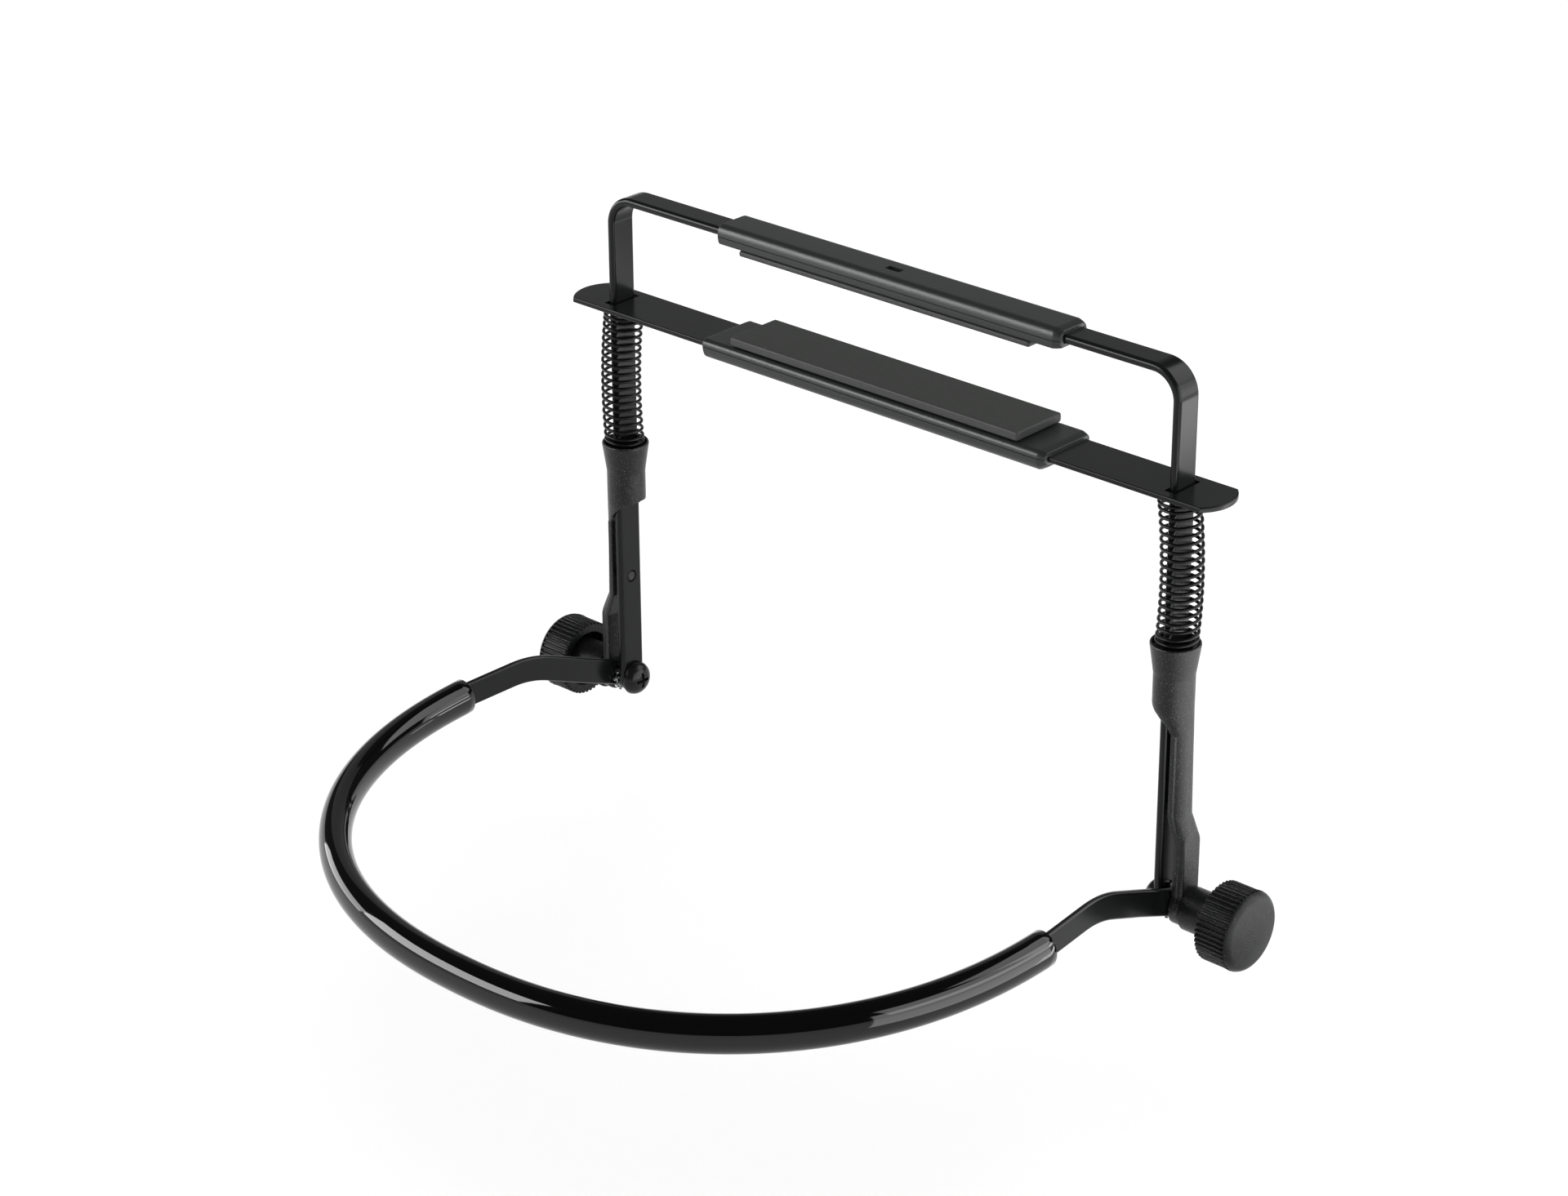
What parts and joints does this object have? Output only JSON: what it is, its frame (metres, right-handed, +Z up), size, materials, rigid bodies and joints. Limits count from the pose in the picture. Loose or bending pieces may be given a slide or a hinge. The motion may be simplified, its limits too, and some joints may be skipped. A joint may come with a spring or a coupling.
{
  "type": "harmonica holder",
  "caption": "Harmonica holder worn round the neck: flat steel neck bow in a glossy tube, tilting sprung clamp frame with padded jaws and clamp knobs.",
  "frame": {"origin": "inner side of the neck tube at the back of the neck, at the tube's mid height", "axes": "+X to the wearer's right, +Y away from the wearer, +Z up"},
  "size_m": [0.2536, 0.1769, 0.1625],
  "materials": {
    "satin_black_steel": "satin",
    "grip_vinyl": "satin",
    "pad_rubber": "matte",
    "gloss_black_vinyl": "gloss",
    "black_spring_steel": "gloss",
    "grained_black_plastic": "fine grain, matte",
    "black_screw_steel": "satin",
    "bright_zinc": "bright",
    "bush_brass": "plain"
  },
  "bodies": {
    "neck_yoke": {"neck_bow": "satin_black_steel", "neck_tube": "gloss_black_vinyl"},
    "clamp_frame": {"frame_bow": "satin_black_steel", "upper_grip_sleeve": "grip_vinyl", "upper_grip_pad": "pad_rubber", "left_arm": "grained_black_plastic", "right_arm": "grained_black_plastic", "left_clamp_screw": "black_screw_steel", "right_clamp_screw": "black_screw_steel", "left_lock_washer": "bright_zinc", "right_lock_washer": "bright_zinc", "left_spring": "black_spring_steel", "right_spring": "black_spring_steel"},
    "lower_jaw": {"lower_jaw_plate": "satin_black_steel", "lower_grip_sleeve": "grip_vinyl", "lower_grip_pad": "pad_rubber"},
    "right_clamp": {"right_knob": "grained_black_plastic", "right_knob_insert": "bush_brass"},
    "left_clamp": {"left_knob": "grained_black_plastic", "left_knob_insert": "bush_brass"}
  },
  "joints": [
    {"name": "neck_tilt", "type": "hinge", "parent": "neck_yoke", "child": "clamp_frame", "pos_m": [0, 0.1569, -0.00973], "axis": [1, 0, 0], "range_deg": [-255, 40]},
    {"name": "grip_slide", "type": "slide", "parent": "clamp_frame", "child": "lower_jaw", "axis": [0, 0, 1], "range_m": [-0.022, 0.0215], "stiffness_N_per_m": 800, "deforming": ["left_spring", "right_spring"]},
    {"name": "right_knob_spin", "type": "hinge", "parent": "clamp_frame", "child": "right_clamp", "pos_m": [0.1, 0.1569, -0.00973], "axis": [1, 0, 0], "continuous": true},
    {"name": "left_knob_spin", "type": "hinge", "parent": "clamp_frame", "child": "left_clamp", "pos_m": [-0.1, 0.1569, -0.00973], "axis": [1, 0, 0], "continuous": true}
  ]
}
